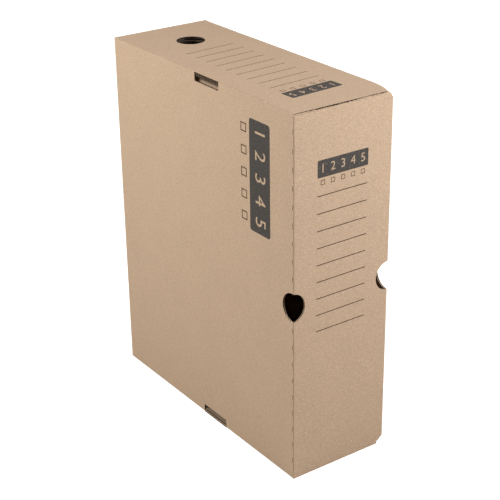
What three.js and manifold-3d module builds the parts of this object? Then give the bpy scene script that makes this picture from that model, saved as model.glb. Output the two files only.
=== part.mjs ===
// Folding archive box for standing files, cut from one sheet of thin corrugated board and folded up.
// Millimetres, +Z up. The origin is the middle of the base.
// The narrow spine faces -Y, the large side panel faces -X, and the lid faces +X and swings on the spine.
import * as THREE from 'three';
import { mergeVertices } from 'three/addons/utils/BufferGeometryUtils.js';
import Module from 'manifold-3d';

const wasm = await Module();
wasm.setup();

// Outer size of the closed box.
const boxWidth = 100;
const boxDepth = 270;
const boxHeight = 330;

// The board, the small gaps between its layers and at its creases, and the bend's outer radius.
const boardThickness = 1.6;
const layerGap = 0.3;
const creaseGap = 0.3;
const creaseRadius = 1;

// Round hole punched across each long crease of the spine, as a finger grip.
const gripRadius = 13.3;
const leftGripHeight = 164;
const leftGripShift = 1.5;
const rightGripHeight = 166;

// Round finger hole near the back of the top wall.
const fingerHoleRadius = 13;
const fingerHoleInset = 51;

// Slanted corner of the spine next to the lid, and the long curve of the wall above it, which starts a
// little inside the rounded crease.
const spineCornerWidth = 6.5;
const spineCornerDrop = 5.5;
const spineCornerRadius = 2;
const wallCurveLength = 24;
const wallCurveSetback = 1;
const wallCurveInset = 5.5;

// Slot in the side panel and the tab that locks into it.
const slotLength = 35.5;
const slotFromSpine = 119.5;
const slotCornerRadius = 0.8;
const lipReveal = 4.5;
const tabSideGap = 0.7;
const tabRecess = 0.4;

// Inner leaf of a rolled wall. It lies against the outer leaf at the tab and bows away over the flaps.
const bowRun = 40;
const bowFlatMargin = 3;
const flapEndMargin = 3;
const lipDrop = 18;
const lipEndInset = 27;
const lipTaper = 12;

// Dust flaps of the spine and of the back wall.
const flapTaper = 5;
const flapCornerRadius = 4;
const holeMargin = 4;

// The lid, its tuck flap and its two ears.
const tuckLength = 22;
const tuckTaper = 7;
const swingClearance = 0.6;
const earWidth = 28;
const earTaper = 14;
const earFrontInset = 30;
const earSpacing = 6;
const earClearance = 0.15;
const lidCornerRadius = 4;

const arcSteps = 8;
const holeSteps = 48;
const bowSteps = 8;
const cutterMargin = 5;

const left = -boxWidth / 2;
const right = boxWidth / 2;
const front = -boxDepth / 2;
const back = boxDepth / 2;
const layerPitch = boardThickness + layerGap;
const foldHeight = boardThickness + 2 * layerPitch;
const mitreShift = creaseGap / Math.SQRT2;

const slotCentre = front + slotFromSpine;
const slotFront = slotCentre - slotLength / 2;
const slotBack = slotCentre + slotLength / 2;
const slotHeight = boardThickness + layerPitch + lipReveal;
const bowFlatHalf = slotLength / 2 + bowFlatMargin;
const bowFront = slotCentre - bowFlatHalf - bowRun;

const fingerHoleY = back - fingerHoleInset;
const spineFlapLength = bowFront - front - flapEndMargin;
const backFlapLength = fingerHoleInset - fingerHoleRadius - holeMargin;

const tuckGap = tuckLength ** 2 / (2 * boxDepth) + swingClearance;
const lidBack = back - boardThickness - tuckGap;
const earSwing = boardThickness * (Math.SQRT2 - 1) + earClearance;
const lidTop = boxHeight - foldHeight - earSwing;
const lidBottom = foldHeight + earSwing;
const earFront = front + earFrontInset;
const earBack = lidBack - tuckLength - earSpacing;

const kraft = { color: 0xc3a583, roughness: 0.88 };
const kraftInside = { color: 0xb99a78, roughness: 0.9 };
const kraftLid = { color: 0xc6a987, roughness: 0.88 };

// Closed solid from a geometry.
function solidOf(geometry) {
  const bare = new THREE.BufferGeometry();
  bare.setAttribute('position', geometry.getAttribute('position').clone());
  if (geometry.index) {
    bare.setIndex(geometry.index.clone());
  }
  const merged = mergeVertices(bare);
  const mesh = new wasm.Mesh({
    numProp: 3,
    vertProperties: new Float32Array(merged.getAttribute('position').array),
    triVerts: new Uint32Array(merged.index.array),
  });
  return new wasm.Manifold(mesh);
}

// Outline with rounded corners. Each corner is [u, v] or [u, v, radius].
function outlineShape(corners) {
  const points = [];
  corners.forEach((corner, index) => {
    const here = new THREE.Vector2(corner[0], corner[1]);
    const radius = corner[2] ?? 0;
    if (radius === 0) {
      points.push(here);
      return;
    }
    const before = corners[(index + corners.length - 1) % corners.length];
    const after = corners[(index + 1) % corners.length];
    const toBefore = new THREE.Vector2(before[0], before[1]).sub(here).normalize();
    const toAfter = new THREE.Vector2(after[0], after[1]).sub(here).normalize();
    const halfAngle = Math.acos(toBefore.dot(toAfter)) / 2;
    const reach = radius / Math.tan(halfAngle);
    const middle = toBefore.clone().add(toAfter).normalize();
    const centre = middle.multiplyScalar(radius / Math.sin(halfAngle)).add(here);
    const start = toBefore.multiplyScalar(reach).add(here).sub(centre);
    const end = toAfter.multiplyScalar(reach).add(here).sub(centre);
    const turn = Math.atan2(start.cross(end), start.dot(end));
    for (let step = 0; step <= arcSteps; step += 1) {
      const angle = (turn * step) / arcSteps;
      points.push(start.clone().rotateAround(new THREE.Vector2(), angle).add(centre));
    }
  });
  return new THREE.Shape(points);
}

// Flat board. The outline lies across the thin axis: [y, z] for x, [x, z] for y and [x, y] for z.
function board(thinAxis, corners, low, high) {
  const swapped = thinAxis === 'y';
  const ordered = swapped ? corners.map(([u, v, radius]) => [v, u, radius]) : corners;
  const shape = outlineShape(ordered);
  const geometry = new THREE.ExtrudeGeometry(shape, { depth: high - low, bevelEnabled: false });
  geometry.translate(0, 0, low);
  const places = geometry.getAttribute('position');
  for (let index = 0; index < places.count; index += 1) {
    const [u, v, w] = [places.getX(index), places.getY(index), places.getZ(index)];
    if (thinAxis === 'x') {
      places.setXYZ(index, w, u, v);
    } else if (thinAxis === 'y') {
      places.setXYZ(index, v, w, u);
    }
  }
  return solidOf(geometry);
}

function rectangle(u0, u1, v0, v1, radius = 0) {
  return [[u0, v0, radius], [u1, v0, radius], [u1, v1, radius], [u0, v1, radius]];
}

// Round cutter along one axis through the point [u, v] of the plane across it.
function roundCutter(axis, u, v, radius, low, high) {
  const corners = [];
  for (let step = 0; step < holeSteps; step += 1) {
    const angle = (2 * Math.PI * step) / holeSteps;
    corners.push([u + radius * Math.cos(angle), v + radius * Math.sin(angle)]);
  }
  return board(axis, corners, low, high);
}

// Cutter for a board's end at a crease: a slanted face that meets the next board's, and a rounded outer
// corner. The crease runs along one axis from low to high. `at` is the outer corner in the plane across
// it, the board leaves it along `into`, and the board's thickness grows along `inward`.
function creaseCutter(axis, at, into, inward, low, high) {
  const reach = boardThickness + cutterMargin;
  const place = (along, deep) => [
    at[0] + into[0] * along + inward[0] * deep,
    at[1] + into[1] * along + inward[1] * deep,
  ];
  const wedge = [
    place(mitreShift - cutterMargin, -cutterMargin),
    place(mitreShift + reach, reach),
    place(mitreShift - cutterMargin, reach),
  ];
  const round = [place(-cutterMargin, -cutterMargin), place(creaseRadius, -cutterMargin)];
  for (let step = 0; step <= arcSteps; step += 1) {
    const angle = (Math.PI * step) / (2 * arcSteps);
    round.push(place(creaseRadius * (1 - Math.sin(angle)), creaseRadius * (1 - Math.cos(angle))));
  }
  round.push(place(-cutterMargin, creaseRadius));
  return board(axis, wedge, low, high).add(board(axis, round, low, high));
}

// Height of the inner leaf's upper side below the top of the box.
function leafDepth(y) {
  const away = Math.abs(y - slotCentre) - bowFlatHalf;
  const share = THREE.MathUtils.clamp(away / bowRun, 0, 1);
  return layerPitch + (layerPitch * (1 - Math.cos(Math.PI * share))) / 2;
}

// Stations along the depth at which the bowed leaf is drawn.
function leafStations(low, high) {
  const stations = [low, high];
  for (const side of [-1, 1]) {
    for (let step = 0; step <= bowSteps; step += 1) {
      const y = slotCentre + side * (bowFlatHalf + (bowRun * step) / bowSteps);
      if (y > low && y < high) {
        stations.push(y);
      }
    }
  }
  return stations.sort((a, b) => a - b);
}

// Outline of a rolled wall seen from above, with the long curve at its corner by the lid's crease.
function curvedWallOutline(x0, x1, y0, y1) {
  const curveRadius = (wallCurveLength ** 2 + wallCurveInset ** 2) / (2 * wallCurveInset);
  const centreX = right - wallCurveSetback - curveRadius;
  const centreY = front + wallCurveLength;
  const corners = [[x0, y0]];
  const edgeAt = (y) => centreX + Math.sqrt(curveRadius ** 2 - (centreY - y) ** 2);
  for (let step = 0; step <= arcSteps; step += 1) {
    const y = y0 + ((centreY - y0) * step) / arcSteps;
    corners.push([Math.min(edgeAt(y) - (right - x1), x1), y]);
  }
  corners.push([x1, centreY], [x1, y1], [x0, y1]);
  return corners;
}

function addWallOuter() {
  const low = boxHeight - boardThickness;
  let wall = board('z', curvedWallOutline(left, right, front, back), low, boxHeight);
  const leftCrease = (from, to) => creaseCutter('y', [left, boxHeight], [1, 0], [0, -1], from, to);
  wall = wall.subtract(leftCrease(front - cutterMargin, slotFront));
  wall = wall.subtract(leftCrease(slotBack, back + cutterMargin));
  const foldFront = front + wallCurveLength;
  const foldBack = back - layerPitch;
  return wall.subtract(creaseCutter('y', [right, boxHeight], [-1, 0], [0, -1], foldFront, foldBack));
}

function addWallFold() {
  const low = boxHeight - foldHeight;
  const outline = rectangle(front + wallCurveLength, back - layerPitch, low, boxHeight);
  const strip = board('x', outline, right - boardThickness, right);
  const from = front - cutterMargin;
  const to = back + cutterMargin;
  return strip.subtract(creaseCutter('y', [right, boxHeight], [0, -1], [-1, 0], from, to));
}

function addWallInner() {
  const low = front + layerPitch;
  const high = back - layerPitch;
  const stations = leafStations(low, high);
  const upper = stations.map((y) => [y, boxHeight - leafDepth(y)]);
  const lower = stations.map((y) => [y, boxHeight - leafDepth(y) - boardThickness]);
  const bowed = board('x', [...upper, ...lower.reverse()], left, right);
  const x0 = left + layerPitch;
  const x1 = right - layerPitch;
  const [first, ...rest] = curvedWallOutline(x0, x1, low, high);
  const last = rest.pop();
  const tabEnd = left + tabRecess;
  const tabFront = slotFront + tabSideGap;
  const tabBack = slotBack - tabSideGap;
  const tab = [
    [x0, tabBack],
    [tabEnd, tabBack, slotCornerRadius],
    [tabEnd, tabFront, slotCornerRadius],
    [x0, tabFront],
  ];
  const plan = board('z', [first, ...rest, last, ...tab], 0, boxHeight);
  return bowed.intersect(plan);
}

function addWallLip() {
  const low = front + lipEndInset;
  const high = back - lipEndInset;
  const bottom = boxHeight - foldHeight - lipDrop;
  const topAt = (y) => boxHeight - leafDepth(y) - layerPitch;
  const upper = leafStations(low, high).map((y) => [y, topAt(y)]);
  const outline = [...upper.reverse(), [low + lipTaper, bottom], [high - lipTaper, bottom]];
  const inner = left + layerPitch;
  return board('x', outline, inner, inner + boardThickness);
}

function fingerHole() {
  const low = boxHeight - foldHeight - cutterMargin;
  return roundCutter('z', 0, fingerHoleY, fingerHoleRadius, low, boxHeight + cutterMargin);
}

// Dust flap between the two leaves of the top wall, folded in from the spine or from the back wall.
// `root` is the face it is folded from and `sign` is the way it points along the depth.
function addDustFlap(root, sign, length, rightInset) {
  const high = boxHeight - layerPitch;
  const tip = root + sign * length;
  const x0 = left + layerPitch;
  const x1 = right - rightInset;
  const outline = [
    [x0, root],
    [x1, root],
    [x1 - flapTaper, tip, flapCornerRadius],
    [x0 + flapTaper, tip, flapCornerRadius],
  ];
  const flap = board('z', outline, high - boardThickness, high);
  return flap.subtract(creaseCutter('x', [root, high], [sign, 0], [0, -1], left, right));
}

function addSidePanel() {
  const inner = left + boardThickness;
  let panel = board('x', rectangle(front, back, 0, boxHeight), left, inner);
  const below = -cutterMargin;
  const above = boxHeight + cutterMargin;
  panel = panel.subtract(creaseCutter('z', [left, front], [0, 1], [1, 0], below, above));
  panel = panel.subtract(creaseCutter('z', [left, back], [0, -1], [1, 0], below, above));
  const from = front - cutterMargin;
  const to = back + cutterMargin;
  panel = panel.subtract(creaseCutter('y', [left, boxHeight], [0, -1], [1, 0], from, to));
  panel = panel.subtract(creaseCutter('y', [left, 0], [0, 1], [1, 0], from, to));
  const slotTop = rectangle(slotFront, slotBack, boxHeight - slotHeight, above, slotCornerRadius);
  const slotBottom = rectangle(slotFront, slotBack, below, slotHeight, slotCornerRadius);
  panel = panel.subtract(board('x', slotTop, left - cutterMargin, inner + cutterMargin));
  panel = panel.subtract(board('x', slotBottom, left - cutterMargin, inner + cutterMargin));
  const gripY = front + leftGripShift;
  const grip = roundCutter('x', gripY, leftGripHeight, gripRadius, left - cutterMargin, inner + cutterMargin);
  return panel.subtract(grip);
}

function addSpinePanel() {
  const inner = front + boardThickness;
  const low = layerPitch;
  const high = boxHeight - layerPitch;
  const outline = [
    [left, low],
    [right - spineCornerWidth, low, spineCornerRadius],
    [right, low + spineCornerDrop, spineCornerRadius],
    [right, high - spineCornerDrop, spineCornerRadius],
    [right - spineCornerWidth, high, spineCornerRadius],
    [left, high],
  ];
  let panel = board('y', outline, front, inner);
  const below = -cutterMargin;
  const above = boxHeight + cutterMargin;
  panel = panel.subtract(creaseCutter('z', [left, front], [1, 0], [0, 1], below, above));
  panel = panel.subtract(creaseCutter('z', [right, front], [-1, 0], [0, 1], below, above));
  const from = left - cutterMargin;
  const to = right + cutterMargin;
  panel = panel.subtract(creaseCutter('x', [front, high], [0, -1], [1, 0], from, to));
  panel = panel.subtract(creaseCutter('x', [front, low], [0, 1], [1, 0], from, to));
  const grips = [
    [left - leftGripShift, leftGripHeight],
    [right, rightGripHeight],
  ];
  for (const [gripX, gripHeight] of grips) {
    const near = front - cutterMargin;
    panel = panel.subtract(roundCutter('y', gripX, gripHeight, gripRadius, near, inner + cutterMargin));
  }
  return panel;
}

function addBackWall() {
  const inner = back - boardThickness;
  const low = layerPitch;
  const high = boxHeight - layerPitch;
  let panel = board('y', rectangle(left, right, low, high), inner, back);
  panel = panel.subtract(creaseCutter('z', [left, back], [1, 0], [0, -1], 0, boxHeight));
  panel = panel.subtract(creaseCutter('x', [back, high], [0, -1], [-1, 0], left, right));
  return panel.subtract(creaseCutter('x', [back, low], [0, 1], [-1, 0], left, right));
}

function addLidPanel() {
  const inner = right - boardThickness;
  let panel = board('x', rectangle(front, lidBack, lidBottom, lidTop), inner, right);
  panel = panel.subtract(creaseCutter('z', [right, front], [0, 1], [-1, 0], 0, boxHeight));
  panel = panel.subtract(creaseCutter('z', [right, lidBack], [0, -1], [-1, 0], 0, boxHeight));
  panel = panel.subtract(creaseCutter('y', [right, lidTop], [0, -1], [-1, 0], earFront, earBack));
  panel = panel.subtract(creaseCutter('y', [right, lidBottom], [0, 1], [-1, 0], earFront, earBack));
  const near = inner - cutterMargin;
  return panel.subtract(roundCutter('x', front, rightGripHeight, gripRadius, near, right + cutterMargin));
}

function addTuckFlap() {
  const tip = right - tuckLength;
  const low = lidBottom + boardThickness;
  const high = lidTop - boardThickness;
  const outline = [
    [right, low],
    [right, high],
    [tip, high - tuckTaper, lidCornerRadius],
    [tip, low + tuckTaper, lidCornerRadius],
  ];
  const flap = board('y', outline, lidBack - boardThickness, lidBack);
  return flap.subtract(creaseCutter('z', [right, lidBack], [-1, 0], [0, -1], 0, boxHeight));
}

function addLidEar() {
  const tip = right - earWidth;
  const outline = [
    [right, earFront + mitreShift],
    [right, earBack - mitreShift],
    [tip, earBack - earTaper, lidCornerRadius],
    [tip, earFront + earTaper, lidCornerRadius],
  ];
  const flap = board('z', outline, lidTop - boardThickness, lidTop);
  return flap.subtract(creaseCutter('y', [right, lidTop], [-1, 0], [0, -1], front, back));
}

// Same shape at the other end of the box, turned over about its middle height.
function atBase(solid) {
  return solid.mirror([0, 0, 1]).translate([0, 0, boxHeight]);
}

function meshOf(name, solid, look) {
  const data = solid.getMesh();
  const geometry = new THREE.BufferGeometry();
  geometry.setAttribute('position', new THREE.BufferAttribute(new Float32Array(data.vertProperties), 3));
  geometry.setIndex(new THREE.BufferAttribute(new Uint32Array(data.triVerts), 1));
  const flat = geometry.toNonIndexed();
  flat.computeVertexNormals();
  const material = new THREE.MeshStandardMaterial({ ...look, metalness: 0 });
  const mesh = new THREE.Mesh(flat, material);
  mesh.name = name;
  return mesh;
}

const wallOuter = addWallOuter();
const wallFold = addWallFold();
const wallInner = addWallInner();
const wallLip = addWallLip();
const spineFlap = addDustFlap(front, 1, spineFlapLength, spineCornerWidth);
const backFlap = addDustFlap(back, -1, backFlapLength, layerPitch);
const lidEar = addLidEar();

const pieces = [
  ['side_panel', addSidePanel(), kraft],
  ['spine_panel', addSpinePanel(), kraft],
  ['spine_flap_top', spineFlap, kraftInside],
  ['spine_flap_bottom', atBase(spineFlap), kraftInside],
  ['top_wall_outer', wallOuter.subtract(fingerHole()), kraft],
  ['top_wall_fold', wallFold, kraft],
  ['top_wall_inner', wallInner.subtract(fingerHole()), kraftInside],
  ['top_wall_lip', wallLip, kraftInside],
  ['bottom_wall_outer', atBase(wallOuter), kraft],
  ['bottom_wall_fold', atBase(wallFold), kraft],
  ['bottom_wall_inner', atBase(wallInner), kraftInside],
  ['bottom_wall_lip', atBase(wallLip), kraftInside],
  ['back_wall', addBackWall(), kraft],
  ['back_flap_top', backFlap, kraftInside],
  ['back_flap_bottom', atBase(backFlap), kraftInside],
  ['lid_panel', addLidPanel(), kraftLid],
  ['lid_tuck_flap', addTuckFlap(), kraftLid],
  ['lid_ear_top', lidEar, kraftLid],
  ['lid_ear_bottom', atBase(lidEar), kraftLid],
];

const box = new THREE.Group();
box.name = 'archive_box';
for (const [name, solid, look] of pieces) {
  box.add(meshOf(name, solid, look));
}

export default box;
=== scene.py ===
import math
import random
import bpy
import bmesh
from mathutils import Matrix, Vector


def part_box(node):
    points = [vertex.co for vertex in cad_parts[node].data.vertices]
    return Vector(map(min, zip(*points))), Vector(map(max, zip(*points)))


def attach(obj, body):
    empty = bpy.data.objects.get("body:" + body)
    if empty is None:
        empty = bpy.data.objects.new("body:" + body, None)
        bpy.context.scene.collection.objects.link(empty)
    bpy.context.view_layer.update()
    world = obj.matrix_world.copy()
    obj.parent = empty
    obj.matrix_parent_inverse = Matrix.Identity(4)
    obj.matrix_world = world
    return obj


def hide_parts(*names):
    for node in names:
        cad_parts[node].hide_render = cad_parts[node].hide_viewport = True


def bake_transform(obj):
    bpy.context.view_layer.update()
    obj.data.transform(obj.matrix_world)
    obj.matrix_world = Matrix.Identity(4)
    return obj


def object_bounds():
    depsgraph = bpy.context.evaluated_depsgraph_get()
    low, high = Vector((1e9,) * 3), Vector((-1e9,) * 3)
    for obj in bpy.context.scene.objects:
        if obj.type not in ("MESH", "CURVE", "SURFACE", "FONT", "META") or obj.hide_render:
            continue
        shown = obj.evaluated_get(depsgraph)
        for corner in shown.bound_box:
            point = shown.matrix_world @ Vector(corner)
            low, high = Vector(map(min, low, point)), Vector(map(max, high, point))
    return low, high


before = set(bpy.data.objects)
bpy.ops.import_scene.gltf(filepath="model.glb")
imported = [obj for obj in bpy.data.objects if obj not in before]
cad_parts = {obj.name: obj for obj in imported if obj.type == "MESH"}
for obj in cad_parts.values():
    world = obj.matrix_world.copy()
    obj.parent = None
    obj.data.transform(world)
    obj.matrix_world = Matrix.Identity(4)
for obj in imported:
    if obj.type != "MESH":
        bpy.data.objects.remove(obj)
cad_low, cad_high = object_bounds()

# The camera stands in front of the spine, to the left and above, about 1.1 m away. Its long lens keeps
# the perspective flat.
camera_data = bpy.data.cameras.new("camera")
camera_data.sensor_width = 36.0
camera_data.lens = 94.43
camera_data.clip_end = 20.0
camera = bpy.data.objects.new("camera", camera_data)
bpy.context.scene.collection.objects.link(camera)
camera_forward = Vector((0.5223, 0.7431, -0.4184)).normalized()
camera_right = Vector((0.8147, -0.5798, -0.0127))
camera_right = (camera_right - camera_forward * camera_right.dot(camera_forward)).normalized()
camera_up = camera_right.cross(camera_forward)
camera_turn = Matrix((camera_right, camera_up, -camera_forward)).transposed().to_4x4()
camera.matrix_world = Matrix.Translation((-0.6198, -0.8857, 0.6513)) @ camera_turn
bpy.context.scene.camera = camera
bpy.context.scene.view_settings.view_transform = "Standard"


# The large side panel: thin corrugated kraft board, two liners glued to a waved middle sheet.
# Its flutes stand upright. It is folded on all four sides, and the slots and the punched grip cut it
# through, so the waves show at their edges.
merge_distance = 0.000001
dissolve_angle = math.radians(0.4)
smooth_angle = math.radians(32)
liner_thickness = 0.00032
medium_thickness = 0.00024
board_thickness = 0.0016
flute_pitch = 0.0033
flute_steps = 10
glue_overlap = 0.00002
sheet_overhang = 0.001
fold_half_gap = 0.00015
cut_crease_half_gap = 0.0001
print_recess = 0.00002
fold_inset = 0.0009
hinge_inset = 0.0022
crease_inset = 0.00045
cut_slot = 6
sealed_reach = 0.0004
same_plane = 0.000005
kraft_light = (0.600, 0.436, 0.300)
kraft_dull = (0.545, 0.392, 0.266)
kraft_cut = (0.700, 0.520, 0.360)
kraft_creased = (0.600, 0.430, 0.292)
# The liners' hidden sides, the waved sheet and the crease slits are painted near black: painted shade of
# the flute channels and cuts.
kraft_channel_shade = (0.030, 0.019, 0.011)


def new_material(name):
    material = bpy.data.materials.new(name)
    material.use_nodes = True
    nodes = material.node_tree.nodes
    nodes.clear()
    output = nodes.new("ShaderNodeOutputMaterial")
    shader = nodes.new("ShaderNodeBsdfPrincipled")
    material.node_tree.links.new(shader.outputs["BSDF"], output.inputs["Surface"])
    return material, nodes, material.node_tree.links, shader


def spread(nodes, links, value, low, high):
    """Brings a value to between 0 and 1, with low and all beyond it at 0 and high and beyond at 1."""
    span = nodes.new("ShaderNodeMapRange")
    span.inputs["From Min"].default_value = low
    span.inputs["From Max"].default_value = high
    links.new(value, span.inputs["Value"])
    return span.outputs["Result"]


def noise_value(nodes, links, where, scale, detail, low, high):
    noise = nodes.new("ShaderNodeTexNoise")
    noise.inputs["Scale"].default_value = scale
    noise.inputs["Detail"].default_value = detail
    links.new(where, noise.inputs["Vector"])
    return spread(nodes, links, noise.outputs["Fac"], low, high)


def paper_speckle(nodes, links, where):
    return noise_value(nodes, links, where, scale=1250.0, detail=2.0, low=0.38, high=0.64)


def darker(tone):
    return tuple(part * 0.62 for part in tone)


def blend_colour(nodes, links, factor, strength, under, over):
    """Under, with the colour over laid on it where factor is 1, at the given strength."""
    amount = nodes.new("ShaderNodeMath")
    amount.operation = "MULTIPLY"
    amount.inputs[1].default_value = strength
    links.new(factor, amount.inputs[0])
    mix = nodes.new("ShaderNodeMix")
    mix.data_type = "RGBA"
    links.new(amount.outputs["Value"], mix.inputs["Factor"])
    links.new(under, mix.inputs[6])
    mix.inputs[7].default_value = (*over, 1.0)
    return mix.outputs[2]


def flute_wave(nodes, links, place, axis):
    """A sine along one axis, in step with the waves of the middle sheet."""
    split = nodes.new("ShaderNodeSeparateXYZ")
    links.new(place, split.inputs["Vector"])
    turn = nodes.new("ShaderNodeMath")
    turn.operation = "MULTIPLY"
    turn.inputs[1].default_value = 2 * math.pi / flute_pitch
    links.new(split.outputs[axis], turn.inputs[0])
    sine = nodes.new("ShaderNodeMath")
    sine.operation = "SINE"
    links.new(turn.outputs["Value"], sine.inputs[0])
    return sine.outputs["Value"]


def kraft_paper(name, tone, grain, washboard):
    """Brown paper with short fibres that lie mostly along one axis, and a faint trace of the flutes."""
    material, nodes, links, shader = new_material(name)
    place = nodes.new("ShaderNodeTexCoord").outputs["Object"]
    stretch = nodes.new("ShaderNodeMapping")
    stretch.inputs["Scale"].default_value = [0.40 if axis == grain else 1.0 for axis in range(3)]
    links.new(place, stretch.inputs["Vector"])
    along = stretch.outputs["Vector"]
    base = nodes.new("ShaderNodeRGB")
    base.outputs[0].default_value = (*tone, 1.0)
    dark = darker(tone)
    pale = tuple(min(1.0, part * 1.22 + 0.03) for part in tone)
    cloud = noise_value(nodes, links, place, scale=38.0, detail=3.0, low=0.35, high=0.65)
    colour = blend_colour(nodes, links, cloud, 0.09, base.outputs[0], dark)
    speckle = paper_speckle(nodes, links, place)
    colour = blend_colour(nodes, links, speckle, 0.50, colour, dark)
    fleck = noise_value(nodes, links, along, scale=1900.0, detail=2.0, low=0.54, high=0.66)
    colour = blend_colour(nodes, links, fleck, 0.55, colour, pale)
    fibre = noise_value(nodes, links, along, scale=2500.0, detail=2.0, low=0.56, high=0.68)
    colour = blend_colour(nodes, links, fibre, 0.60, colour, dark)
    links.new(colour, shader.inputs["Base Color"])
    rough = nodes.new("ShaderNodeMapRange")
    rough.inputs["To Min"].default_value = 0.78
    rough.inputs["To Max"].default_value = 0.92
    links.new(speckle, rough.inputs["Value"])
    links.new(rough.outputs["Result"], shader.inputs["Roughness"])
    shader.inputs["Specular IOR Level"].default_value = 0.22
    shader.inputs["Sheen Weight"].default_value = 0.05
    ridge = nodes.new("ShaderNodeMath")
    ridge.operation = "MULTIPLY"
    ridge.inputs[1].default_value = washboard
    links.new(flute_wave(nodes, links, place, grain), ridge.inputs[0])
    height = nodes.new("ShaderNodeMath")
    height.operation = "ADD"
    links.new(ridge.outputs["Value"], height.inputs[0])
    links.new(speckle, height.inputs[1])
    bump = nodes.new("ShaderNodeBump")
    bump.inputs["Strength"].default_value = 0.25
    bump.inputs["Distance"].default_value = 0.00003
    links.new(height.outputs["Value"], bump.inputs["Height"])
    links.new(bump.outputs["Normal"], shader.inputs["Normal"])
    return material


kraft_outside = {axis: kraft_paper(f"kraft_outside_{axis}", kraft_light, axis, 0.55) for axis in (0, 1)}
kraft_inside = {axis: kraft_paper(f"kraft_inside_{axis}", kraft_dull, axis, 0.4) for axis in (0, 1)}
cut_edge = kraft_paper("kraft_cut_edge", kraft_cut, 2, 0.0)
creased = kraft_paper("kraft_crease", kraft_creased, 2, 0.0)
channel_shade = kraft_paper("kraft_channel_shade", kraft_channel_shade, 2, 0.0)


def flute_ends(name, tone):
    """A long cut edge across the flutes, with a dark hollow painted once in every wave as the shade in
    the flute.
    """
    material, nodes, links, shader = new_material(name)
    place = nodes.new("ShaderNodeTexCoord").outputs["Object"]
    hollow = spread(nodes, links, flute_wave(nodes, links, place, 1), 0.0, 0.4)
    base = nodes.new("ShaderNodeRGB")
    base.outputs[0].default_value = (*tone, 1.0)
    speckle = paper_speckle(nodes, links, place)
    colour = blend_colour(nodes, links, speckle, 0.40, base.outputs[0], darker(tone))
    colour = blend_colour(nodes, links, hollow, 0.92, colour, kraft_channel_shade)
    links.new(colour, shader.inputs["Base Color"])
    shader.inputs["Roughness"].default_value = 0.88
    shader.inputs["Specular IOR Level"].default_value = 0.2
    return material


def deselect_all():
    if bpy.context.object and bpy.context.object.mode != "OBJECT":
        bpy.ops.object.mode_set(mode="OBJECT")
    bpy.ops.object.select_all(action="DESELECT")


def take(piece):
    """Makes one object the only one selected, and the active one."""
    deselect_all()
    piece.select_set(True)
    bpy.context.view_layer.objects.active = piece


def face_outward(piece):
    """Turns every face of a closed piece outward."""
    take(piece)
    bpy.ops.object.mode_set(mode="EDIT")
    bpy.ops.mesh.select_all(action="SELECT")
    bpy.ops.mesh.normals_make_consistent(inside=False)
    bpy.ops.object.mode_set(mode="OBJECT")


def apply_modifier(piece, kind, **settings):
    take(piece)
    modifier = piece.modifiers.new(kind.lower(), kind)
    for key, value in settings.items():
        setattr(modifier, key, value)
    bpy.ops.object.modifier_apply(modifier=modifier.name)


def merged_copy(node, name):
    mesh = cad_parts[node].data.copy()
    mesh.materials.clear()
    piece = bpy.data.objects.new(name, mesh)
    bpy.context.scene.collection.objects.link(piece)
    take(piece)
    bpy.ops.object.mode_set(mode="EDIT")
    bpy.ops.mesh.select_all(action="SELECT")
    bpy.ops.mesh.remove_doubles(threshold=merge_distance)
    bpy.ops.mesh.dissolve_limited(angle_limit=dissolve_angle)
    bpy.ops.object.mode_set(mode="OBJECT")
    return piece


def waved_sheet(name, thin, across, low, high, centre):
    """The middle sheet of a board, a wave that repeats along one axis, cut generously."""
    along = 3 - thin - across
    columns = max(4, round((high[across] - low[across]) / flute_pitch * flute_steps))
    deselect_all()
    bpy.ops.mesh.primitive_grid_add(x_subdivisions=columns, y_subdivisions=2, size=1.0)
    sheet = bpy.context.object
    sheet.name = name
    swing = board_thickness / 2 - liner_thickness - medium_thickness / 2 + glue_overlap
    for vertex in sheet.data.vertices:
        place = [0.0, 0.0, 0.0]
        place[across] = low[across] + (high[across] - low[across]) * (vertex.co.x + 0.5)
        place[along] = low[along] + (high[along] - low[along]) * (vertex.co.y + 0.5)
        phase = 2 * math.pi * place[across] / flute_pitch
        place[thin] = centre(place[across]) + swing * math.sin(phase)
        vertex.co = place
    apply_modifier(sheet, "SOLIDIFY", thickness=medium_thickness, offset=0.0)
    face_outward(sheet)
    return sheet


def close_folds(piece, thin, outward, half_open):
    """Brings the slanted faces at the creases together, all the way or to a fine line."""
    shape = bmesh.new()
    shape.from_mesh(piece.data)
    moves = {}
    for face in shape.faces:
        slanted_inward = abs(face.normal[thin] * outward + math.sqrt(0.5)) < 0.01
        if not slanted_inward:
            continue
        side = max((axis for axis in range(3) if axis != thin), key=lambda axis: abs(face.normal[axis]))
        key = (side, 1 if face.normal[side] > 0 else -1)
        step = fold_half_gap - (cut_crease_half_gap if key in half_open else 0.0)
        for vertex in face.verts:
            moves.setdefault(vertex, {})[key] = face.normal * step
    for vertex, pushes in moves.items():
        for push in pushes.values():
            vertex.co += push
    for vertex in shape.verts:
        if abs(vertex.co[thin] - piece["outer_face"]) < same_plane:
            vertex.co[thin] -= outward * print_recess
    shape.to_mesh(piece.data)
    shape.free()


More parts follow.
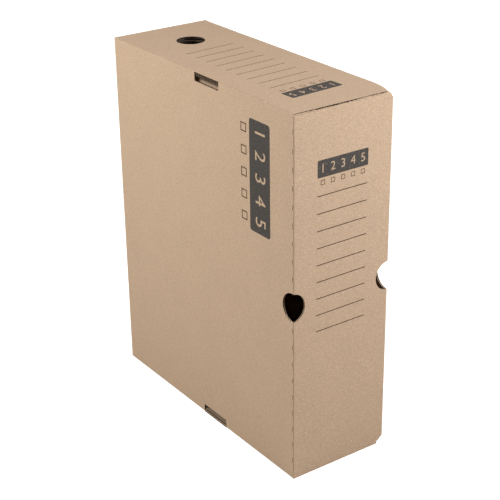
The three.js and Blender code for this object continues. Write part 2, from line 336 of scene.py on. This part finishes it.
def corrugated(node, body, thin, outward, across, folds, sealed=(), half_open=(), scored=(), hinged=(),
               centre=None, taken=(), edge=cut_edge):
    """One board: its liners from the CAD solid's faces, open at the cut edges, round a waved sheet.

    Folds are the sides, as axis and sign, where it turns at a crease along its whole length. Hinged
    are those that can open: there the waves end short of the board's pressed flank. Sealed are edges,
    as axis, sign and place, that a crease covers although the solid ends square there.
    """
    low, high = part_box(node)
    solid = merged_copy(node, f"{node}_cutter")
    board = merged_copy(node, f"{node}_board")
    board["outer_face"] = high[thin] if outward > 0 else low[thin]
    close_folds(board, thin, outward, half_open)
    shape = bmesh.new()
    shape.from_mesh(board.data)
    cut_faces = []
    for face in shape.faces:
        if abs(face.normal[thin]) > 0.3:
            continue
        middle = face.calc_center_median()
        covered = any(
            face.normal[axis] * sign > 0.9 and abs(middle[axis] - place) < sealed_reach
            for axis, sign, place in sealed
        )
        if not covered:
            cut_faces.append(face)
    bmesh.ops.delete(shape, geom=cut_faces, context="FACES")
    shape.to_mesh(board.data)
    shape.free()
    grain = 0 if across == 0 else 1
    # Outer liner, inner liner and crease, then the same three on the liners' hidden sides, all in the
    # near-black paper that paints the shade of the flute channels (the waved sheet takes it too), then
    # cuts.
    paper = [kraft_outside[grain], kraft_inside[grain], creased, channel_shade, channel_shade, channel_shade, edge]
    for material in paper:
        board.data.materials.append(material)
    for face in board.data.polygons:
        facing = face.normal[thin] * outward
        at_crease = [
            abs(face.center[axis] - (low, high)[sign > 0][axis]) < crease_inset for axis, sign in scored
        ]
        face.material_index = 1 if facing < 0.3 else 2 if any(at_crease) else 0
    apply_modifier(
        board, "SOLIDIFY", thickness=liner_thickness, offset=-1.0, use_even_offset=True,
        material_offset=3, material_offset_rim=cut_slot,
    )
    sheet_low, sheet_high = list(low), list(high)
    for axis in range(3):
        if axis == thin:
            continue
        for sign, corner in ((-1, sheet_low), (1, sheet_high)):
            if (axis, sign) in hinged:
                inset = hinge_inset
            elif (axis, sign) in folds:
                inset = fold_inset
            else:
                inset = -sheet_overhang
            corner[axis] -= sign * inset
    level = (low[thin] + high[thin]) / 2
    sheet = waved_sheet(f"{node}_wave", thin, across, sheet_low, sheet_high, centre or (lambda at: level))
    apply_modifier(sheet, "BOOLEAN", operation="INTERSECT", solver="EXACT", object=solid)
    for box_low, box_high in taken:
        bpy.ops.mesh.primitive_cube_add(size=1.0)
        block = bpy.context.object
        for vertex in block.data.vertices:
            vertex.co = [box_low[i] + (box_high[i] - box_low[i]) * (vertex.co[i] + 0.5) for i in range(3)]
        apply_modifier(sheet, "BOOLEAN", operation="DIFFERENCE", solver="EXACT", object=block)
        bpy.data.objects.remove(block)
    sheet.data.materials.clear()
    for material in paper:
        sheet.data.materials.append(material)
    along = 3 - thin - across
    for face in sheet.data.polygons:
        face.material_index = cut_slot if abs(face.normal[along]) > 0.7 else 3
    bpy.data.objects.remove(solid)
    take(board)
    sheet.select_set(True)
    bpy.ops.object.join()
    bpy.ops.object.shade_smooth_by_angle(angle=smooth_angle)
    apply_modifier(board, "WEIGHTED_NORMAL", keep_sharp=True)
    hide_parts(node)
    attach(board, body)
    return board


def darken_cut(board, middle, reach, paper):
    """Gives the cut faces within reach of an upright line a paper of their own."""
    board.data.materials.append(paper)
    for face in board.data.polygons:
        cut = face.material_index == cut_slot
        if cut and math.hypot(face.center[0] - middle[0], face.center[1] - middle[1]) < reach:
            face.material_index = len(board.data.materials) - 1


all_sides_x = {(1, -1), (1, 1), (2, -1), (2, 1)}
side_board = corrugated("side_panel", "shell", 0, -1, 1, all_sides_x, scored={(1, -1)})
# The slot's cut faces are painted with a dark hollow in every flute, as painted shade.
slot_centre = cad_low.y + 0.1195
slot_reach = 0.019
darken_cut(side_board, (cad_low.x, slot_centre), slot_reach, flute_ends("kraft_slot_edge", kraft_cut))

# The spine: the narrow front, with upright flutes, folded on all four sides. Its corners by the lid
# are rounded, and a half-round grip is punched at each long edge.
all_sides_y = {(0, -1), (0, 1), (2, -1), (2, 1)}
corrugated(
    "spine_panel", "shell", 1, -1, 0, all_sides_y, half_open={(0, 1)}, scored={(0, -1), (0, 1)},
    hinged={(0, 1)},
)

# At the top right the crease rule has left a little of the spine's outer liner standing: a rounded lug
# that fills the corner between the top wall's end and the lid.
lug_outline = (
    (0.0424, 0.3262), (0.0424, 0.3284), (0.0432, 0.3298), (0.0447, 0.3293), (0.0463, 0.3283),
    (0.0477, 0.3269), (0.0487, 0.3251), (0.0492, 0.3232), (0.0492, 0.3215), (0.0470, 0.3215),
)
deselect_all()
bpy.ops.mesh.primitive_circle_add(vertices=len(lug_outline), radius=1.0, fill_type="NGON")
lug = bpy.context.object
lug.name = "spine_corner_lug"
for vertex, (x, z) in zip(lug.data.vertices, lug_outline):
    vertex.co = (x, cad_low.y + 2 * print_recess + liner_thickness / 2, z)
apply_modifier(lug, "SOLIDIFY", thickness=liner_thickness, offset=0.0)
face_outward(lug)
lug.data.materials.append(kraft_outside[0])
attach(lug, "shell")

# The dust flaps of the spine and of the back wall, folded in and held between the two leaves of the
# rolled top and bottom walls. Their cut edges are painted a darker brown, and the punched walls of the
# finger hole near black, as painted shade.
finger_hole = (0.0, 0.084)
finger_hole_reach = 0.0145
kraft_edge_shade = (0.360, 0.252, 0.166)
kraft_deep_shade = (0.080, 0.054, 0.035)
edge_shade = kraft_paper("kraft_shaded_edge", kraft_edge_shade, 2, 0.0)
hole_edge_shade = kraft_paper("kraft_shaded_hole_edge", kraft_deep_shade, 2, 0.0)
for end, outward in (("top", 1), ("bottom", -1)):
    corrugated(f"spine_flap_{end}", "shell", 2, outward, 0, {(1, -1)}, edge=edge_shade)
    flap = corrugated(f"back_flap_{end}", "shell", 2, outward, 0, {(1, 1)}, edge=edge_shade)
    darken_cut(flap, finger_hole, finger_hole_reach, hole_edge_shade)

# Beside the spine's long creases the crease rule has nicked the outer liner: a row of short slits, each
# a lens of near-black paper painted as the shade in the cut, between two lips of torn pale paper.
slit_pitch = 0.0156
slit_start = 0.0030
slit_inset = 0.0014
slit_lens = ((0.0066, 0.00145, 0.000012, cut_edge), (0.0056, 0.00065, 0.00002, channel_shade))
grip_clear = 0.0165
left_grip_height = 0.164
right_grip_height = 0.166


def crease_slits(name, face_x, grip_height):
    outward = 1 if face_x > 0 else -1
    pieces = []
    for length, width, rise, paper in slit_lens:
        for count in range(1, int(cad_high.z / slit_pitch)):
            middle = slit_start + count * slit_pitch
            if abs(middle - grip_height) < grip_clear:
                continue
            deselect_all()
            bpy.ops.mesh.primitive_cylinder_add(
                vertices=24, radius=0.5, depth=rise, rotation=(0.0, math.pi / 2, 0.0),
            )
            slit = bpy.context.object
            bpy.ops.object.transform_apply(location=False, rotation=True, scale=True)
            for vertex in slit.data.vertices:
                vertex.co.x += face_x + outward * (rise / 2 - print_recess)
                vertex.co.y = vertex.co.y * width + cad_low.y + slit_inset
                vertex.co.z = vertex.co.z * length + middle
            slit.data.materials.append(paper)
            pieces.append(slit)
    take(pieces[0])
    for slit in pieces:
        slit.select_set(True)
    bpy.ops.object.join()
    row = bpy.context.object
    row.name = name
    return row


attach(crease_slits("left_crease_slits", cad_low.x, left_grip_height), "shell")
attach(crease_slits("right_crease_slits", cad_high.x, right_grip_height), "lid")

# The rolled top and bottom walls: an outer leaf, a narrow strip turned over the lid's edge, an inner
# leaf whose tab locks in the side panel's slot, and a lip that hangs down behind the slot.
bow_run = 0.040
slot_length = 0.0355
bow_flat_half = slot_length / 2 + 0.003
layer_pitch = board_thickness + 0.0003
lip_spring = 0.0028


def handled_paper(name, tone, across, middle, unshaded_at, shaded_at, strength=0.90):
    """The boards' inner paper, with painted shade laid over it close to a fold, a hole or an end.

    Across is 1 for each direction in which the distance from the middle counts, and 0 for the others.
    """
    material = kraft_paper(name, tone, 1, 0.4)
    nodes, links = material.node_tree.nodes, material.node_tree.links
    shader = next(node for node in nodes if node.type == "BSDF_PRINCIPLED")
    unshaded_colour = shader.inputs["Base Color"].links[0].from_socket
    place = nodes.new("ShaderNodeTexCoord").outputs["Object"]
    flat = nodes.new("ShaderNodeVectorMath")
    flat.operation = "MULTIPLY"
    flat.inputs[1].default_value = across
    links.new(place, flat.inputs[0])
    away = nodes.new("ShaderNodeVectorMath")
    away.operation = "DISTANCE"
    away.inputs[1].default_value = middle
    links.new(flat.outputs["Vector"], away.inputs[0])
    shade_amount = spread(nodes, links, away.outputs["Value"], unshaded_at, shaded_at)
    colour = blend_colour(nodes, links, shade_amount, strength, unshaded_colour, kraft_deep_shade)
    links.new(colour, shader.inputs["Base Color"])
    return material


def leaf_level(outward):
    """Middle of the bowed inner leaf: next to the outer leaf at the tab, and one layer away beyond."""
    edge = cad_high.z if outward > 0 else cad_low.z

    def level(at):
        away = min(1.0, max(0.0, (abs(at - slot_centre) - bow_flat_half) / bow_run))
        depth = layer_pitch + layer_pitch * (1 - math.cos(math.pi * away)) / 2 + board_thickness / 2
        return edge - outward * depth

    return level


# The lip behind the slot is painted far paler than the paper as painted light, and darker towards its
# folded end as painted shade.
kraft_lip_painted_light = (0.780, 0.570, 0.390)
kraft_tab_shade = (0.200, 0.135, 0.085)
lip_middle = (0.0, 0.0, (cad_low.z + cad_high.z) / 2)
lip_light_and_shade = handled_paper("kraft_lip_painted_light", kraft_lip_painted_light, (0, 0, 1), lip_middle, unshaded_at=0.1556, shaded_at=0.1586)
# The inner leaf's inner paper is painted darker round the finger hole, as painted shade.
leaf_shade_paper = handled_paper(
    "kraft_shade_by_finger_hole", kraft_dull, (1, 1, 0), (*finger_hole, 0.0), unshaded_at=0.034, shaded_at=0.026,
)
# The inner leaf's outer paper is painted darker towards the tab's end, as painted shade in the slot.
tab_shade_paper = handled_paper(
    "kraft_shade_by_tab", kraft_light, (1, 0, 0), (cad_low.x, 0.0, 0.0), unshaded_at=0.0075, shaded_at=0.0045,
    strength=0.50,
)
# The tab's cut end is painted dark brown with near-black flute hollows, as painted shade in the slot.
tab_end_shade = flute_ends("kraft_tab_edge", kraft_tab_shade)


def change_paper(board, old, paper):
    """Gives the faces in material slot old another paper."""
    board.data.materials.append(paper)
    for face in board.data.polygons:
        if face.material_index == old:
            face.material_index = len(board.data.materials) - 1


for end, outward in (("top", 1), ("bottom", -1)):
    # Painted shade: the top outer leaf's cut edges take the darker edge paper, the finger hole's walls
    # near black, and the leaf's end over the slot the tab's painted dark flute hollows; the bottom's cut
    # edges take the crease paper.
    wear_and_shade = {"top": edge_shade, "bottom": creased}[end]
    leaf = corrugated(f"{end}_wall_outer", "shell", 2, outward, 1, {(0, -1), (0, 1)}, edge=wear_and_shade)
    darken_cut(leaf, finger_hole, finger_hole_reach, hole_edge_shade)
    darken_cut(leaf, (cad_low.x, slot_centre), slot_reach, tab_end_shade)
    if end == "bottom":
        # The waved sheet's front edge, which the pressed cut shows in the paper's own tone.
        for face in leaf.data.polygons:
            if face.center.y < cad_low.y + print_recess:
                face.material_index = cut_slot
    strip_low, strip_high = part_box(f"{end}_wall_fold")
    strip_end = strip_low.z if outward > 0 else strip_high.z
    corrugated(
        f"{end}_wall_fold", "shell", 0, 1, 1, {(2, -1), (2, 1)},
        sealed=[(2, -outward, strip_end)],
    )
    leaf_low, leaf_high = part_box(f"{end}_wall_inner")
    leaf_left = cad_low.x + layer_pitch
    leaf = corrugated(
        f"{end}_wall_inner", "shell", 2, -outward, 1, set(),
        sealed=[(0, 1, leaf_high.x), (0, -1, leaf_left)],
        centre=leaf_level(outward),
        edge=edge_shade,
    )
    darken_cut(leaf, finger_hole, finger_hole_reach, hole_edge_shade)
    darken_cut(leaf, (leaf_low.x, slot_centre), slot_reach, tab_end_shade)
    change_paper(leaf, 1, leaf_shade_paper)
    change_paper(leaf, 0, tab_shade_paper)
    lip = corrugated(f"{end}_wall_lip", "shell", 0, 1, 1, {(2, outward)})
    for vertex in lip.data.vertices:
        vertex.co.x += lip_spring
    change_paper(lip, 1, lip_light_and_shade)

# The rolled walls' front edges are cut along a flute. The torn middle sheet hangs out of the cut as a
# fringe of uneven height that half covers the hollow behind it. At the bottom the box's own weight has
# pressed the cut shut, so there the sheet covers it all.
fringe_columns = 170
fringe_depth = 0.00012
fringe_hang = 0.00028
fringe_length = 0.0931
fringe_cover = 0.62
fringe_waver = 0.10
fringe_turns = 19.0
shortest_tear = 0.05
tear_range = (-0.26, 0.32)
fringe_gape = 0.40
gape_middle = 0.42
gape_width = 0.15
pressed_hang = 0.0013
random.seed(23)
for end, outward in (("top", 1), ("bottom", -1)):
    leaf_low, leaf_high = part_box(f"{end}_wall_outer")
    face_z = leaf_high.z if outward > 0 else leaf_low.z
    pressed = end == "bottom"
    hang = pressed_hang if pressed else fringe_hang
    fringe_foot = face_z - outward * (board_thickness + hang)
    fringe_reach = board_thickness + hang - (print_recess if pressed else liner_thickness)
    deselect_all()
    bpy.ops.mesh.primitive_grid_add(x_subdivisions=fringe_columns, y_subdivisions=1, size=1.0)
    fringe = bpy.context.object
    fringe.name = f"{end}_frayed_edge"
    for vertex in fringe.data.vertices:
        share = vertex.co.x + 0.5
        gape = fringe_gape * math.exp(-(((share - gape_middle) / gape_width) ** 2))
        cover = fringe_cover + fringe_waver * math.sin(fringe_turns * share) - gape
        torn = min(1.0, max(shortest_tear, cover + random.uniform(*tear_range)))
        tall = 1.0 if pressed else torn
        x = leaf_low.x + print_recess + share * fringe_length
        z = fringe_foot + outward * (fringe_reach * tall if vertex.co.y > 0 else 0.0)
        vertex.co = (x, leaf_low.y + print_recess, z)
    apply_modifier(fringe, "SOLIDIFY", thickness=fringe_depth, offset=-outward)
    fringe.data.materials.append(creased if pressed else cut_edge)
    face_outward(fringe)
    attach(fringe, "shell")

# The back wall, of the same board with upright flutes, closes the box behind and keeps the lid's tuck
# flap inside it. It is folded on three sides, and its right edge is cut.
corrugated("back_wall", "shell", 1, 1, 0, {(0, -1), (2, -1), (2, 1)})

# The lid swings on the spine's crease. Its tuck flap goes inside the back wall, and its two ears lie
# inside the rolled walls.
lid_low, lid_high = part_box("lid_panel")
ear_low, ear_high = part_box("lid_ear_top")
zone_margin = 0.001
ear_margin = 0.0003
ear_zones = []
for z_low, z_high in (
    (lid_low.z - zone_margin, lid_low.z + hinge_inset),
    (lid_high.z - hinge_inset, lid_high.z + zone_margin),
):
    zone_low = (lid_low.x - zone_margin, ear_low.y - ear_margin, z_low)
    zone_high = (lid_high.x + zone_margin, ear_high.y + ear_margin, z_high)
    ear_zones.append((zone_low, zone_high))
corrugated(
    "lid_panel", "lid", 0, 1, 1, {(1, -1), (1, 1)}, half_open={(1, -1)}, scored={(1, -1)},
    hinged={(1, -1), (1, 1)}, taken=ear_zones,
)
corrugated("lid_tuck_flap", "tuck_flap", 1, 1, 0, {(0, 1)}, hinged={(0, 1)})
corrugated("lid_ear_top", "ear_top", 2, 1, 1, {(0, 1)}, hinged={(0, 1)})
corrugated("lid_ear_bottom", "ear_bottom", 2, -1, 1, {(0, 1)}, hinged={(0, 1)})

# Round the four creases that open, the outer liner runs on from one board to the next. It is a thin
# strip of paper that starts in one board and ends in the other.
web_radius = 0.001
web_depth = 0.00015
web_tail = 0.0008
web_steps = 8
web_thickness = 0.0001
web_margin = 0.0004
web_rows = 12
grip_half_gap = 0.0138
spine_corner_drop = 0.0062


def crease_web(name, corner, first_way, second_way, along, low, high):
    """The liner round an outer corner, from low to high. The ways lead from it over the boards."""
    first_way, second_way = Vector(first_way), Vector(second_way)
    centre = Vector(corner) + (first_way + second_way) * web_radius
    reach = web_radius - web_depth
    profile = [centre - second_way * reach + first_way * web_tail]
    for step in range(web_steps + 1):
        turn = math.pi / 2 * step / web_steps
        profile.append(centre - (second_way * math.cos(turn) + first_way * math.sin(turn)) * reach)
    profile.append(centre - first_way * reach + second_way * web_tail)
    deselect_all()
    bpy.ops.mesh.primitive_grid_add(x_subdivisions=len(profile) - 1, y_subdivisions=web_rows, size=1.0)
    web = bpy.context.object
    web.name = name
    for vertex in web.data.vertices:
        place = profile[round((vertex.co.x + 0.5) * (len(profile) - 1))].copy()
        place[along] = low + (high - low) * (vertex.co.y + 0.5)
        vertex.co = place
    apply_modifier(web, "SOLIDIFY", thickness=web_thickness, offset=0.0)
    face_outward(web)
    bpy.ops.object.shade_smooth_by_angle(angle=smooth_angle)
    web.data.materials.append(kraft_outside[1])
    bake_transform(web)
    return web


lid_edge = (cad_high.x, cad_low.y, 0.0)
lower_web = (cad_low.z + board_thickness + spine_corner_drop, right_grip_height - grip_half_gap)
upper_web = (right_grip_height + grip_half_gap, cad_high.z - board_thickness - spine_corner_drop)
for part, (low, high) in (("lower", lower_web), ("upper", upper_web)):
    crease_web(f"lid_crease_{part}", lid_edge, (-1, 0, 0), (0, 1, 0), 2, low, high)
flap_low, flap_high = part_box("lid_tuck_flap")
crease_web(
    "tuck_flap_crease_web", (lid_high.x, lid_high.y, 0.0), (0, -1, 0), (-1, 0, 0), 2,
    flap_low.z + web_margin, flap_high.z - web_margin,
)
for end, edge_z, inward in (("top", lid_high.z, -1), ("bottom", lid_low.z, 1)):
    crease_web(
        f"ear_{end}_crease_web", (lid_high.x, 0.0, edge_z),
        (0, 0, inward), (-1, 0, 0), 1, ear_low.y + web_margin, ear_high.y - web_margin,
    )

# The print: one dark ink on the outer liner. The spine and the top carry nine ruled lines to write on.
# The spine, the top and the side each carry a bar with the plain numbers 1 to 5 left out of the ink,
# and a tick box for each number, to mark where a box stands in its row.
print_height = 0.001


def ink_film(name, tone, wear):
    """Printing ink soaked into the paper, worn through here and there."""
    material, nodes, links, shader = new_material(name)
    place = nodes.new("ShaderNodeTexCoord").outputs["Object"]
    pigment = nodes.new("ShaderNodeRGB")
    pigment.outputs[0].default_value = (*tone, 1.0)
    wear_and_shade = noise_value(nodes, links, place, scale=900.0, detail=3.0, low=0.55, high=0.72)
    colour = blend_colour(nodes, links, wear_and_shade, wear, pigment.outputs[0], kraft_dull)
    grainy = noise_value(nodes, links, place, scale=420.0, detail=3.0, low=0.40, high=0.65)
    colour = blend_colour(nodes, links, grainy, 0.30, colour, tuple(part * 0.6 for part in tone))
    links.new(colour, shader.inputs["Base Color"])
    shader.inputs["Roughness"].default_value = 0.72
    shader.inputs["Specular IOR Level"].default_value = 0.25
    return material


full_ink = ink_film("ink_full", (0.066, 0.060, 0.055), 0.22)
line_ink = ink_film("ink_line", (0.052, 0.026, 0.012), 0.10)


def lay_print(pattern, name, ink, corner, right, up, scale):
    """Copies a flat pattern onto a face. Its middle goes to corner. The ink fills the small recess."""
    piece = pattern.copy()
    piece.data = pattern.data.copy()
    piece.name = name
    bpy.context.scene.collection.objects.link(piece)
    right, up = Vector(right), Vector(up)
    outward = right.cross(up)
    deep = max(vertex.co.z for vertex in piece.data.vertices)
    for vertex in piece.data.vertices:
        sunk = outward * (vertex.co.z / deep - 1.0) * print_recess
        vertex.co = Vector(corner) + right * vertex.co.x * scale + up * vertex.co.y * scale + sunk
    piece.data.materials.clear()
    piece.data.materials.append(ink)
    face_outward(piece)
    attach(piece, "shell")
    return piece


# The ruled lines, in brown-black ink. One is made, a long strip whose edges waver a little where the ink
# has run into the fibres, and is copied to the spine and, a little thinner, to the top. The sheet went
# through the press slightly askew for the top.
line_width = 0.00075
line_length = 0.0516
line_steps = 120
line_waver = 0.22
line_end_share = 0.35
line_count = 9
spine_first_line = 0.2563
spine_line_pitch = 0.01505
top_first_line = 0.1860
top_line_pitch = 0.01527
top_line_share = 0.88
top_skew = 0.052
top_scale = 1.02
random.seed(41)
deselect_all()
bpy.ops.mesh.primitive_grid_add(x_subdivisions=line_steps, y_subdivisions=1, size=1.0)
line = bpy.context.object
for vertex in line.data.vertices:
    edge = line_width / 2 * (1.0 + random.uniform(-line_waver, line_waver))
    at_end = abs(vertex.co.x) > 0.499
    blunt = line_end_share if at_end else 1.0
    vertex.co = (vertex.co.x * line_length, math.copysign(edge * blunt, vertex.co.y), 0.0)
apply_modifier(line, "SOLIDIFY", thickness=print_height, offset=1.0)
spine_lines_z = [spine_first_line - count * spine_line_pitch for count in range(line_count)]
for count, z in enumerate(spine_lines_z):
    place = (-0.0012, cad_low.y, z)
    lay_print(line, f"spine_line_{count + 1}", line_ink, place, (1, 0, 0), (0, 0, 1), 1.0)
for vertex in line.data.vertices:
    vertex.co.y *= top_line_share
top_lines_y = [cad_low.y + top_first_line - count * top_line_pitch for count in range(line_count)]
top_right = (-math.cos(top_skew), -math.sin(top_skew), 0.0)
top_up = (math.sin(top_skew), -math.cos(top_skew), 0.0)
for count, y in enumerate(top_lines_y):
    place = (-0.0011, y, cad_high.z)
    lay_print(line, f"top_line_{count + 1}", line_ink, place, top_right, top_up, top_scale)
bpy.data.objects.remove(line)

# The number bar: a block of the same dark ink with rounded corners. The numbers 1 to 5 are left out of
# the ink, so that the bare paper shows through them.
bar_length = 0.0516
bar_height = 0.0148
bar_corner = 0.0014
number_size = 0.0105
number_pitch = 0.0102
deselect_all()
bpy.ops.mesh.primitive_cube_add(size=1.0, location=(0.0, 0.0, print_height / 2))
bar = bpy.context.object
bar.scale = (bar_length, bar_height, print_height)
bpy.ops.object.transform_apply(location=True, rotation=False, scale=True)
take(bar)
bpy.ops.object.mode_set(mode="EDIT")
bpy.ops.mesh.select_mode(type="EDGE")
bpy.ops.mesh.select_all(action="DESELECT")
shape = bmesh.from_edit_mesh(bar.data)
for edge in shape.edges:
    if abs(edge.verts[0].co.z - edge.verts[1].co.z) > print_height / 2:
        edge.select_set(True)
bmesh.update_edit_mesh(bar.data)
bpy.ops.mesh.bevel(offset=bar_corner, segments=6, affect="EDGES")
bpy.ops.object.mode_set(mode="OBJECT")
for number in range(1, 6):
    deselect_all()
    bpy.ops.object.text_add()
    figure = bpy.context.object
    figure.data.body = str(number)
    figure.data.size = number_size
    figure.data.align_x = "CENTER"
    figure.data.align_y = "CENTER"
    figure.data.extrude = 3 * print_height
    figure.data.resolution_u = 5
    bpy.ops.object.convert(target="MESH")
    figure.data.transform(Matrix.Translation(((number - 3) * number_pitch, 0.0, 0.0)))
    apply_modifier(bar, "BOOLEAN", operation="DIFFERENCE", solver="EXACT", object=figure)
    bpy.data.objects.remove(figure)

# The tick boxes: thin square outlines in the ink of the lines. One is made, and copied under each number
# of the three bars.
box_size = 0.0041
box_line = 0.00052
box_drop = 0.0116
deselect_all()
bpy.ops.mesh.primitive_plane_add(size=box_size)
tick = bpy.context.object
bpy.ops.object.mode_set(mode="EDIT")
bpy.ops.mesh.select_all(action="SELECT")
bpy.ops.mesh.inset(thickness=box_line)
bpy.ops.mesh.delete(type="FACE")
bpy.ops.object.mode_set(mode="OBJECT")
apply_modifier(tick, "SOLIDIFY", thickness=print_height, offset=1.0)

bars = (
    ("spine", (-0.0008, cad_low.y, 0.2791), (1, 0, 0), (0, 0, 1), 1.0),
    ("side", (cad_low.x, -0.0899, 0.26275), (0, 0, -1), (0, -1, 0), 1.885),
    ("top", (-0.0014, cad_low.y + 0.0397, cad_high.z), top_right, top_up, top_scale),
)
for place_name, middle, right, up, scale in bars:
    lay_print(bar, f"{place_name}_number_bar", full_ink, middle, right, up, scale)
    for number in range(1, 6):
        along = Vector(right) * (number - 3) * number_pitch * scale
        below = -Vector(up) * box_drop * scale
        spot = Vector(middle) + along + below
        lay_print(tick, f"{place_name}_tick_box_{number}", line_ink, spot, right, up, scale)
bpy.data.objects.remove(bar)
bpy.data.objects.remove(tick)

# The studio: a plain pale floor, a white surround and three soft lamps. The floor and the surround look
# white to the camera only, so they throw no extra light on the box.
floor_tone = 0.45
floor_glow = 0.915
surround_strength = 0.298
surround_tone = (1.0, 0.82, 0.62)
bpy.ops.mesh.primitive_plane_add(size=12.0)
floor = bpy.context.object
floor.name = "floor"
floor_material, nodes, links, shader = new_material("floor_white")
shader.inputs["Base Color"].default_value = (floor_tone, floor_tone, floor_tone, 1.0)
shader.inputs["Roughness"].default_value = 1.0
shader.inputs["Specular IOR Level"].default_value = 0.0
glow = nodes.new("ShaderNodeEmission")
glow.inputs["Color"].default_value = (1.0, 1.0, 1.0, 1.0)
glow.inputs["Strength"].default_value = floor_glow
lit = nodes.new("ShaderNodeAddShader")
links.new(shader.outputs["BSDF"], lit.inputs[0])
links.new(glow.outputs["Emission"], lit.inputs[1])
path = nodes.new("ShaderNodeLightPath")
seen = nodes.new("ShaderNodeMixShader")
links.new(path.outputs["Is Camera Ray"], seen.inputs["Fac"])
links.new(shader.outputs["BSDF"], seen.inputs[1])
links.new(lit.outputs["Shader"], seen.inputs[2])
output = next(node for node in nodes if node.type == "OUTPUT_MATERIAL")
links.new(seen.outputs["Shader"], output.inputs["Surface"])
floor.data.materials.append(floor_material)

world = bpy.data.worlds.new("studio")
world.use_nodes = True
bpy.context.scene.world = world
nodes, links = world.node_tree.nodes, world.node_tree.links
background = nodes["Background"]
path = nodes.new("ShaderNodeLightPath")
tint = nodes.new("ShaderNodeMix")
tint.data_type = "RGBA"
tint.inputs[6].default_value = (*surround_tone, 1.0)
tint.inputs[7].default_value = (1.0, 1.0, 1.0, 1.0)
links.new(path.outputs["Is Camera Ray"], tint.inputs["Factor"])
links.new(tint.outputs[2], background.inputs["Color"])
level = nodes.new("ShaderNodeMapRange")
level.inputs["To Min"].default_value = surround_strength
level.inputs["To Max"].default_value = 1.0
links.new(path.outputs["Is Camera Ray"], level.inputs["Value"])
links.new(level.outputs["Result"], background.inputs["Strength"])


def soft_lamp(name, place, aim, power, blue):
    """A square studio lamp. Its light is a little cool, against the brown of the board."""
    data = bpy.data.lights.new(name, "AREA")
    data.shape = "SQUARE"
    data.size = 0.6
    data.energy = power
    data.color = (1.05, 1.075, blue)
    lamp = bpy.data.objects.new(name, data)
    lamp.visible_camera = False
    bpy.context.scene.collection.objects.link(lamp)
    turn = (Vector(aim) - Vector(place)).to_track_quat("-Z", "Y").to_matrix().to_4x4()
    lamp.matrix_world = Matrix.Translation(place) @ turn
    return lamp


soft_lamp("key", (0.469, -0.692, 0.664), (-0.3, -0.135, 0.7), power=9.5, blue=1.12)
soft_lamp("fill", (-0.685, 0.259, 0.597), (-0.05, -0.4, 0.0), power=5.8, blue=1.09)
soft_lamp("back", (1.1, 0.9, 0.22), (0.0, 0.0, 0.2), power=14.0, blue=1.12)
